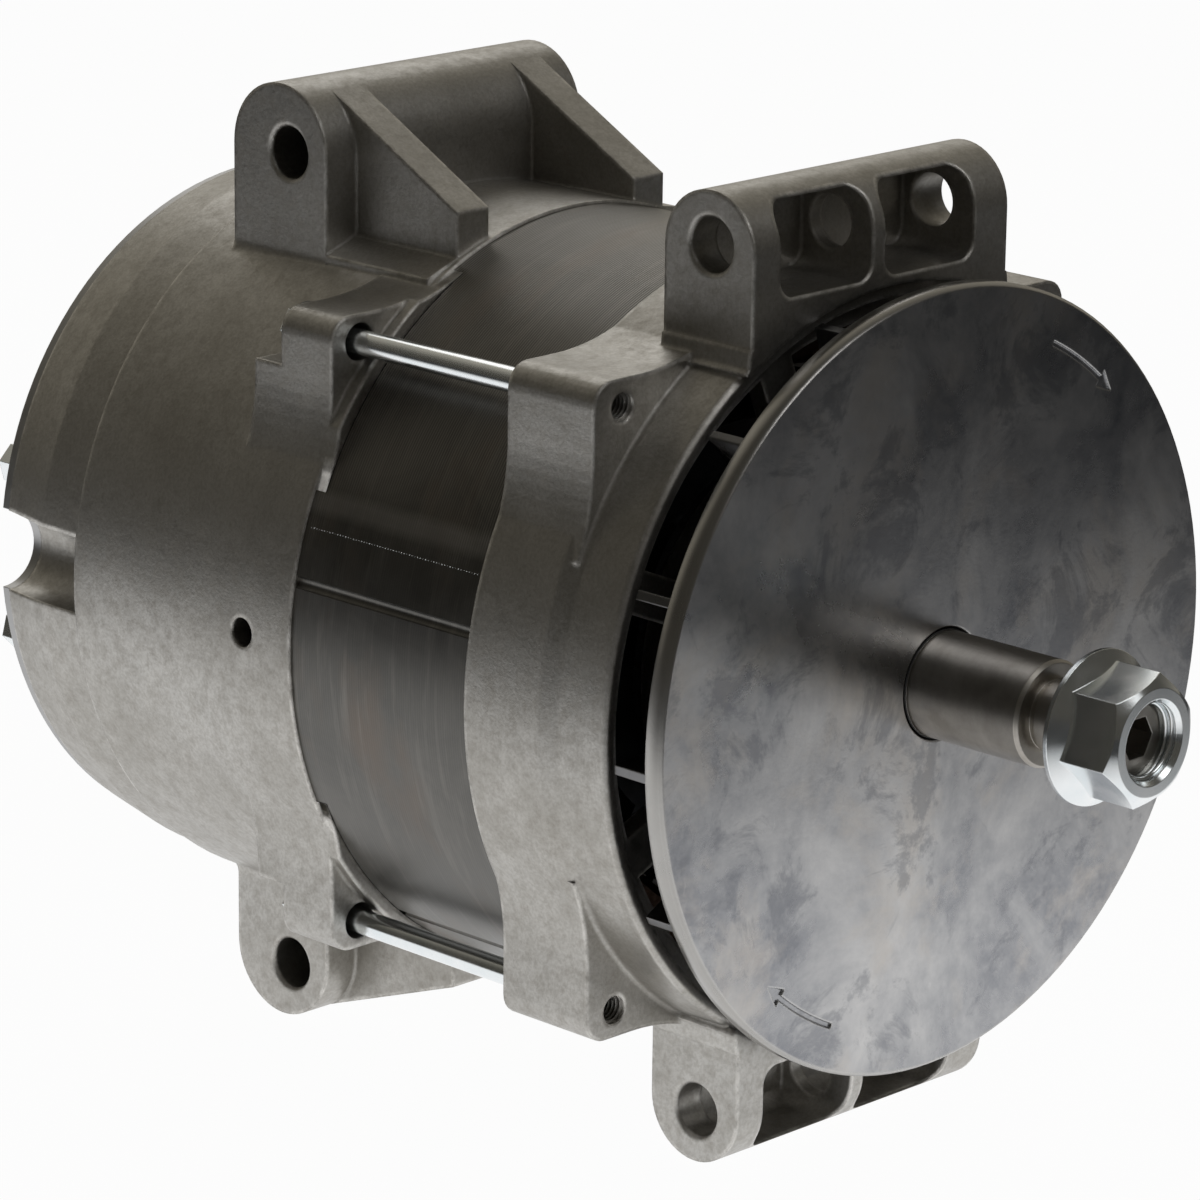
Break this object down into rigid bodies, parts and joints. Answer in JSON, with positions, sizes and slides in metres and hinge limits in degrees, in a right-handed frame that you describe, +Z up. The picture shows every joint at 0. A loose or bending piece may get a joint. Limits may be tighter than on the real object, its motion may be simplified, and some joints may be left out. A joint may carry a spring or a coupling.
{
  "type": "engine alternator",
  "caption": "Heavy-duty engine alternator with four cross-bored mounting lugs, through bolts, an outside fan and a threaded pulley shaft with its flange nut.",
  "frame": {"origin": "on the shaft's axis, at the front face of the fan where the pulley seat begins", "axes": "Y along the shaft with the drive end at -Y, Z up, and X along the four mounting bores"},
  "size_m": [0.164, 0.2845, 0.2066],
  "materials": {
    "cast_aluminium": "matte as-cast grain with bright machined edges",
    "laminations": "dark satin varnish over fine lamination lines",
    "copper": "enamelled copper",
    "zinc_steel": "bright zinc plate",
    "fan_steel": "mottled mill scale with faint stains",
    "ground_steel": "ground, lightly oiled",
    "bearing_steel": "polished",
    "cage_brass": "satin",
    "rotor_steel": "forged, dark",
    "plate_aluminium": "satin",
    "moulding": "matte moulded",
    "carbon": "matte carbon",
    "stud_brass": "satin"
  },
  "bodies": {
    "housing": {"front_housing": "cast_aluminium", "rear_housing": "cast_aluminium", "stator_core": "laminations", "stator_winding": "copper", "through_bolts": "zinc_steel", "front_bearing_outer": "bearing_steel", "bearing_retainer": "zinc_steel", "retainer_screws": "zinc_steel", "rear_bearing_outer": "bearing_steel", "rectifier_plate_negative": "plate_aluminium", "rectifier_plate_positive": "plate_aluminium", "rectifier_insulators": "moulding", "rectifier_screws": "zinc_steel", "diodes_negative": "plate_aluminium", "diodes_positive": "plate_aluminium", "brush_holder": "moulding", "brushes": "carbon", "voltage_regulator": "moulding", "capacitor": "plate_aluminium", "rear_cover": "plate_aluminium", "cover_screws": "zinc_steel", "output_stud": "stud_brass", "output_insulator": "moulding", "output_nut": "stud_brass", "ground_stud": "zinc_steel", "ground_nut": "zinc_steel"},
    "rotor": {"shaft": "ground_steel", "fan": "fan_steel", "fan_spacer": "ground_steel", "pulley_nut": "zinc_steel", "front_bearing_inner": "bearing_steel", "rear_bearing_inner": "bearing_steel", "rotor_pole_front": "rotor_steel", "rotor_pole_rear": "rotor_steel", "rotor_core": "rotor_steel", "coil_bobbin": "moulding", "field_coil": "copper", "slip_ring_hub": "moulding", "slip_rings": "copper"},
    "front_cage": {"front_bearing_balls": "bearing_steel", "front_bearing_cage": "cage_brass"},
    "rear_cage": {"rear_bearing_balls": "bearing_steel", "rear_bearing_cage": "cage_brass"}
  },
  "joints": [
    {"name": "rotor_spin", "type": "hinge", "parent": "housing", "child": "rotor", "pos_m": [0, 0.08, 0], "axis": [0, 1, 0], "continuous": true},
    {"name": "front_cage_spin", "type": "hinge", "parent": "housing", "child": "front_cage", "pos_m": [0, 0.0335, 0], "axis": [0, 1, 0], "continuous": true},
    {"name": "rear_cage_spin", "type": "hinge", "parent": "housing", "child": "rear_cage", "pos_m": [0, 0.1352, 0], "axis": [0, 1, 0], "continuous": true}
  ],
  "couplings": [
    {"joint": "front_cage_spin", "follows": "rotor_spin", "ratio": 0.3724},
    {"joint": "rear_cage_spin", "follows": "rotor_spin", "ratio": 0.3641}
  ]
}
